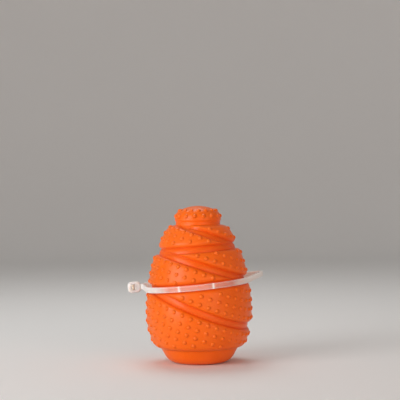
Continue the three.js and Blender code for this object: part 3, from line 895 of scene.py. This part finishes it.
def strap_clearness(line, layout):
    """Clearness along the strap: full where it lies on the toy's front, none where it leaves the toy.

    It falls with the distance from the seat and, from a share of the seat's radius on, towards its sides.
    """
    lift_room, side_start, side_room = 0.35 * MM, 0.58, 0.4
    lift = np.linalg.norm(line - (layout.seat_u, 0), axis=1) - layout.seat_radius
    sideways = np.abs(line[:, 0] - layout.seat_u) / layout.seat_radius
    return 1 - np.clip(np.maximum(lift / lift_room, (sideways - side_start) / side_room), 0, 1)


def build_strap(settings, layout):
    """The strap: a section with two rails on each face, carried along its line, with teeth between the rails.

    The section is in shares of the half width and half thickness, and its second half mirrors its first.
    Low ridges mark the two white creases, and the snipped end is a little swollen.
    """
    tie = settings.tie
    rail_start, rail_clearness = 0.6, 0.86
    ridge_height, cut_length, swelling = 0.12 * MM, 0.5 * MM, 0.35
    points, along, toothed = strap_line(layout, tie)
    wanted = strap_lengths(along, toothed, tie.tooth_pitch)
    line = np.stack([np.interp(wanted, along, points[:, axis]) for axis in range(2)], axis=1)
    heading = unit(np.gradient(line, axis=0))
    inward = np.stack([-heading[:, 1], heading[:, 0]], axis=1)
    half = np.array([
        [-0.54, -0.84], [-0.62, -1], [-0.84, -1], [-0.95, -0.9], [-1, -0.66],
        [-1, 0.66], [-0.95, 0.9], [-0.84, 1], [-0.62, 1], [-0.54, 0.9],
    ])
    side, face = np.vstack([half, half[::-1] * (-1, 1)]).T
    on_rail = np.abs(side) > rail_start
    teeth = np.outer(tooth_share(wanted, toothed, tie.tooth_pitch), ~on_rail & (face > 0)) * tie.tooth_depth
    crease = whitening(line)
    ridge = np.outer(crease, face < 0) * ridge_height
    cut = np.where(wanted > wanted[-1] - cut_length, 1, 0)
    across = (face * tie.thickness / 2 - teeth) * (1 + swelling * cut[:, None]) - ridge
    clearness = strap_clearness(line, layout) * (1 - np.maximum(crease, cut))
    thin = np.outer(clearness, np.where(on_rail, rail_clearness, 1))
    rows, columns = across.shape
    flat = line[:, None] + inward[:, None] * across[..., None]
    upright = np.broadcast_to((side * tie.width / 2)[:, None], (rows, columns, 1))
    grid = np.concatenate([flat, upright], axis=-1).reshape(-1, 3)
    poles = [[*line[0], 0], [*line[-1], 0]]
    piece = new_piece(
        "tie_strap",
        in_toy_space(layout, np.vstack([grid, poles])),
        closed_faces(rows, columns),
        clear_nylon(settings.colours),
        {
            "crease": np.hstack([np.repeat(crease, columns), [0, 0]]),
            "cut": np.hstack([np.repeat(cut, columns), [0, 1]]),
            "thin": np.hstack([thin.ravel(), [0, 0]]),
        },
    )
    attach(piece, "tie")
    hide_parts("cable_tie")


def rounded_loop(left, right, half, radius):
    """A rectangle with round corners, as points in order round it from its right-hand side."""
    quarter = np.linspace(0, np.pi / 2, LOOP_CORNER_POINTS)
    loop = []
    for turn, (u, w) in enumerate(((right, half), (left, half), (left, -half), (right, -half))):
        middle = (u - radius * np.sign(u - (left + right) / 2), w - radius * np.sign(w))
        angle = quarter + turn * np.pi / 2
        loop.append(middle + radius * np.stack([np.cos(angle), np.sin(angle)], axis=1))
    return np.vstack(loop)


def build_head(settings, layout):
    """The head: a ring of rounded rectangles carried from the slot over the outside and back into the slot.

    A rectangle has its left and right edges, its half height and the radius of its corners. An edge of the
    head has a rectangle, how far it swells, its place along the slot, how far in it goes and shares of both.
    """
    front, back = layout.head_front, layout.head_back
    lip_cover, pawl_cover = 0.25 * MM, 0.9 * MM
    slot_corner, head_corner, least_corner = 0.35 * MM, 2.2 * MM, 0.15 * MM
    lead, lip, soft, hard = 0.3 * MM, 0.2 * MM, 1.3 * MM, 0.45 * MM
    diagonal = (1 - np.sqrt(0.5),) * 2
    slot = (layout.slot_left, layout.slot_right, layout.slot_half, slot_corner)
    rim_right, rim_half = layout.slot_right - pawl_cover, layout.slot_half - lip_cover
    rim = (layout.slot_left + lip_cover, rim_right, rim_half, slot_corner)
    head = (layout.head_left, layout.head_right, layout.head_half, head_corner)
    edges = (
        (slot, lead, back, -lead, ((1, 0), (0.3, 0.3), (0, 1))),
        (slot, lip, front, lip, ((0, 1.1),)),
        (rim, lip, front, lip, ((0, 1), (0, 0.4), (0.3, 0.1), (0.6, 0))),
        (head, -soft, front, soft, ((1, 0), (0.62, 0.08), diagonal, (0.08, 0.62), (0, 1))),
        (head, -hard, back, -hard, ((0, 1), diagonal, (1, 0))),
    )
    flat = []
    for (left, right, half, corner), swell, place, inward, shares in edges:
        for out_share, in_share in shares:
            grow = swell * out_share
            loop = rounded_loop(left - grow, right + grow, half + grow, max(corner + grow, least_corner))
            flat.append(np.insert(loop, 1, place + inward * in_share, axis=1))
    rows, columns = len(flat), len(flat[0])
    count, whiteness, clearness = rows * columns, 0.5, 0.12
    piece = new_piece(
        "tie_head",
        in_toy_space(layout, np.vstack(flat)),
        [ring_faces(rows, columns, rows_close=True)[:, ::-1]],
        clear_nylon(settings.colours),
        {"crease": np.full(count, whiteness), "cut": np.zeros(count), "thin": np.full(count, clearness)},
    )
    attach(piece, "tie")


# Studio


def build_backdrop(settings):
    """Floor and backdrop in one sheet: a flat disc that turns up on a quarter-circle into a round wall."""
    inner_radius, flat_radius, turn_radius, wall_top = 0.02, 1.1, 0.5, 1.2
    flat_rows, turn_rows, columns = 24, 16, BACKDROP_COLUMNS
    flat = np.stack([np.linspace(inner_radius, flat_radius, flat_rows), np.zeros(flat_rows)], axis=1)
    turn = round_arc((flat_radius, turn_radius), turn_radius, -np.pi / 2, 0, turn_rows)
    profile = np.vstack([flat, turn[1:], [[flat_radius + turn_radius, wall_top]]])
    radius, height = profile[:, :1], profile[:, 1:]
    column = np.arange(columns)
    angle = full_turn(columns)
    rings = np.stack([radius * np.cos(angle), radius * np.sin(angle), height + 0 * angle], axis=-1)
    surface = np.vstack([rings.reshape(-1, 3), [[0, 0, 0]]])
    quads = ring_faces(len(profile), columns)[:, ::-1]
    middle = np.stack([np.full(columns, len(surface) - 1), column, (column + 1) % columns], axis=1)
    material, tree, shader = new_material("pale_backdrop")
    cloud, _ = grain_of(tree, cloud_scale=6, grain_scale=700)
    base, lift = settings.colours.backdrop, 1.06
    paler = [min(1, lift * value) for value in base]
    tree.links.new(tinted(tree, share_of(tree, cloud, 0, 0.1), base, paler), shader.inputs["Base Color"])
    set_inputs(shader, {"Roughness": 0.9})
    floor = new_piece("backdrop", surface, [quads, middle], material)


def add_lamp(name, place, aim, size, power, tint=(1, 1, 1)):
    """A square soft lamp at a place, turned to face its aim."""
    data = bpy.data.lights.new(name, "AREA")
    data.size = size
    data.energy = power
    data.color = tint
    lamp = placed(name, data)
    lamp.location = place
    right, back, up = np.array(place) - np.array(aim)
    lamp.rotation_euler = (np.arctan2(np.hypot(right, back), up), 0, np.arctan2(right, -back))


def build_lights():
    """A soft lamp at the left, a warm low one at the front and a weak one above and behind."""
    aim = (0, 0, 0.045)
    add_lamp("key_lamp", (-0.64, -0.45, 0.22), aim, size=0.5, power=4.5)
    add_lamp("fill_lamp", (0.34, -0.76, 0.02), aim, size=0.6, power=3.8, tint=(1, 0.56, 0.42))
    add_lamp("top_lamp", (-0.05, 0.3, 0.65), aim, size=0.35, power=1.3)
    world = bpy.data.worlds.new("studio_world")
    world.use_nodes = True
    set_inputs(world.node_tree.nodes["Background"], {"Color": (1, 0.97, 0.94, 1), "Strength": 0.31})
    bpy.context.scene.world = world


def build_camera():
    """A level camera in front of the toy and a little to its left, on a long lens and slightly rolled."""
    data = bpy.data.cameras.new("photo_camera")
    data.sensor_width = 36
    data.lens = 104.94
    data.clip_start = 0.01
    data.clip_end = 20
    camera = placed("photo_camera", data)
    camera.location = (-0.0327, -0.6492, 0.0901)
    camera.rotation_euler = (np.pi / 2, np.radians(0.75), np.radians(-3))
    bpy.context.scene.camera = camera


# Operators


class CHEWTOY_OT_rubber_body(Operator):
    """Builds the nubbed, grooved rubber body"""

    bl_idname = "chewtoy.rubber_body"
    bl_label = "Rubber Body"

    def execute(self, context):
        build_rubber_body(context.scene.chew_toy)
        return {"FINISHED"}


class CHEWTOY_OT_cable_tie(Operator):
    """Builds the cable tie's strap and head, and gives its pawl the nylon's finish"""

    bl_idname = "chewtoy.cable_tie"
    bl_label = "Cable Tie"

    def execute(self, context):
        settings = context.scene.chew_toy
        layout = tie_layout(settings)
        build_strap(settings, layout)
        build_head(settings, layout)
        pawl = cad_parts["tie_pawl"]
        pawl.data.materials.clear()
        pawl.data.materials.append(clear_nylon(settings.colours))
        return {"FINISHED"}


class CHEWTOY_OT_studio(Operator):
    """Builds the backdrop, the lights and the camera"""

    bl_idname = "chewtoy.studio"
    bl_label = "Studio"

    def execute(self, context):
        build_backdrop(context.scene.chew_toy)
        build_lights()
        build_camera()
        context.scene.view_settings.view_transform = "Standard"
        return {"FINISHED"}


class VIEW3D_PT_chew_toy(Panel):
    """Lists the toy's pieces and sizes"""

    bl_idname = "VIEW3D_PT_chew_toy"
    bl_label = "Chew Toy"
    bl_space_type = "VIEW_3D"
    bl_region_type = "UI"
    bl_category = "Chew Toy"

    def draw(self, context):
        column = self.layout.column()
        for operator in OPERATORS:
            column.operator(operator.bl_idname)
        settings = context.scene.chew_toy
        for part in (settings.body, settings.grooves, settings.nubs, settings.tie, settings.colours):
            box = column.box()
            for name in part.__annotations__:
                box.prop(part, name)


GROUPS = (BodySizes, GrooveSizes, NubSizes, TieSizes, ToyColours, ChewToySettings)
OPERATORS = (CHEWTOY_OT_rubber_body, CHEWTOY_OT_cable_tie, CHEWTOY_OT_studio)


def register():
    """Registers the classes and gives each scene its settings."""
    for item in (*GROUPS, *OPERATORS, VIEW3D_PT_chew_toy):
        bpy.utils.register_class(item)
    bpy.types.Scene.chew_toy = PointerProperty(
        name="Chew toy", description="Sizes and colours of the chew toy", type=ChewToySettings
    )


def unregister():
    """Takes the settings and the classes away again."""
    del bpy.types.Scene.chew_toy
    for item in reversed((*GROUPS, *OPERATORS, VIEW3D_PT_chew_toy)):
        bpy.utils.unregister_class(item)


def main():
    """Builds all pieces and the studio."""
    register()
    bpy.ops.chewtoy.rubber_body()
    bpy.ops.chewtoy.cable_tie()
    bpy.ops.chewtoy.studio()


if __name__ == "__main__":
    main()
